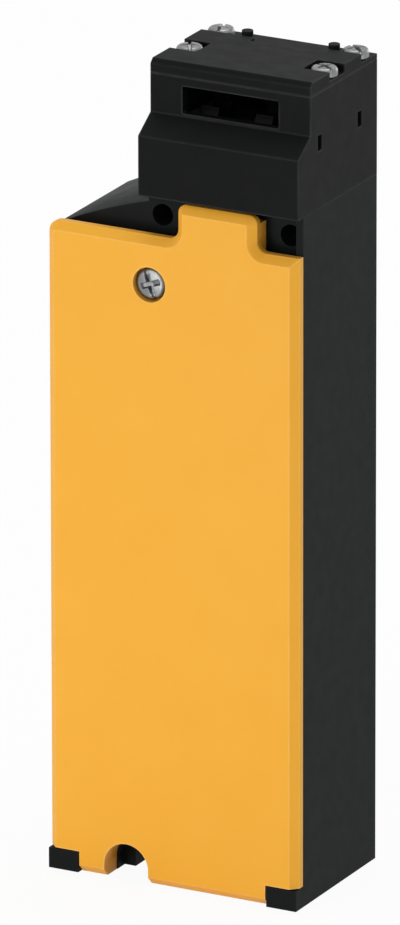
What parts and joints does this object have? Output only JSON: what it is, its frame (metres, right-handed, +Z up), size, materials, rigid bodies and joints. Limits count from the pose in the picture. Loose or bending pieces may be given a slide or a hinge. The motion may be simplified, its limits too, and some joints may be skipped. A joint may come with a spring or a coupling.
{
  "type": "tongue interlock switch",
  "caption": "Guard locking interlock: black housing and head with a tongue slot, yellow front cover, rotor, push rod, contacts, solenoid and lock lever.",
  "frame": {"origin": "middle of the base, at the bottom of the box around the switch", "axes": "+X to the right across the cover, +Y from the cover to the mounting face, +Z up to the head"},
  "size_m": [0.053, 0.033, 0.1633],
  "materials": {
    "black_moulding": "matte, fine grain",
    "yellow_moulding": "satin",
    "seal_rubber": "matte",
    "plated_steel": "zinc plated",
    "brass": "plain",
    "contact_metal": "silver plated",
    "inner_moulding": "matte",
    "rotor_moulding": "smooth",
    "bright_steel": "ground",
    "frame_steel": "passivated",
    "winding_copper": "enamelled wire"
  },
  "bodies": {
    "housing": {"housing": "black_moulding", "cover_gasket": "seal_rubber", "cover_screw_insert": "brass", "head_housing": "black_moulding", "head_lid": "black_moulding", "head_lid_screws": "plated_steel", "head_inserts": "brass", "head_seal": "seal_rubber", "rotor_carrier": "inner_moulding", "carrier_screws": "plated_steel", "rotor_axle": "bright_steel", "rotor_spring": "bright_steel", "rod_bush": "brass", "rod_boot": "seal_rubber", "switch_block": "inner_moulding", "switch_block_screws": "plated_steel", "fixed_contacts": "contact_metal", "contact_screws": "plated_steel", "slide_spring": "bright_steel", "solenoid_frame": "frame_steel", "coil_bobbin": "inner_moulding", "coil_winding": "winding_copper", "fixed_core": "bright_steel", "armature_spring": "bright_steel", "lever_pin": "bright_steel", "lever_clip": "plated_steel", "lever_spacer": "brass", "chassis": "plated_steel", "chassis_screws": "plated_steel", "supply_block": "inner_moulding", "supply_clamps": "brass", "supply_screws": "plated_steel", "supply_fixing_screw": "plated_steel"},
    "cover": {"front_cover": "yellow_moulding", "cover_screw": "plated_steel"},
    "rotor": {"rotor": "rotor_moulding"},
    "push_rod": {"push_rod": "bright_steel", "contact_slide": "inner_moulding", "contact_bridges": "contact_metal"},
    "armature": {"armature": "bright_steel", "armature_pin": "bright_steel"},
    "lock_lever": {"lock_lever": "rotor_moulding"}
  },
  "joints": [
    {"name": "cover_lift", "type": "slide", "parent": "housing", "child": "cover", "axis": [0, -1, 0], "range_m": [0, 0.04]},
    {"name": "rotor_turn", "type": "hinge", "parent": "housing", "child": "rotor", "pos_m": [0.0096, 0.0012, 0.148], "axis": [-1, 0, 0], "range_deg": [0, 50]},
    {"name": "push_rod_slide", "type": "slide", "parent": "housing", "child": "push_rod", "axis": [0, 0, 1], "range_m": [0, 0.004], "deforming": ["slide_spring"]},
    {"name": "armature_slide", "type": "slide", "parent": "housing", "child": "armature", "axis": [0, 0, -1], "range_m": [0, 0.0025], "stiffness_N_per_m": 300, "springref_m": -0.002, "deforming": ["armature_spring"]},
    {"name": "lock_lever_turn", "type": "hinge", "parent": "housing", "child": "lock_lever", "pos_m": [-0.0055, 0.0012, 0.092], "axis": [0, -1, 0], "range_deg": [0, 22.2]}
  ],
  "couplings": [
    {"joint": "rotor_turn", "follows": "push_rod_slide", "rad_per_m": 218.17},
    {"joint": "lock_lever_turn", "follows": "armature_slide", "rad_per_m": 153.85}
  ]
}
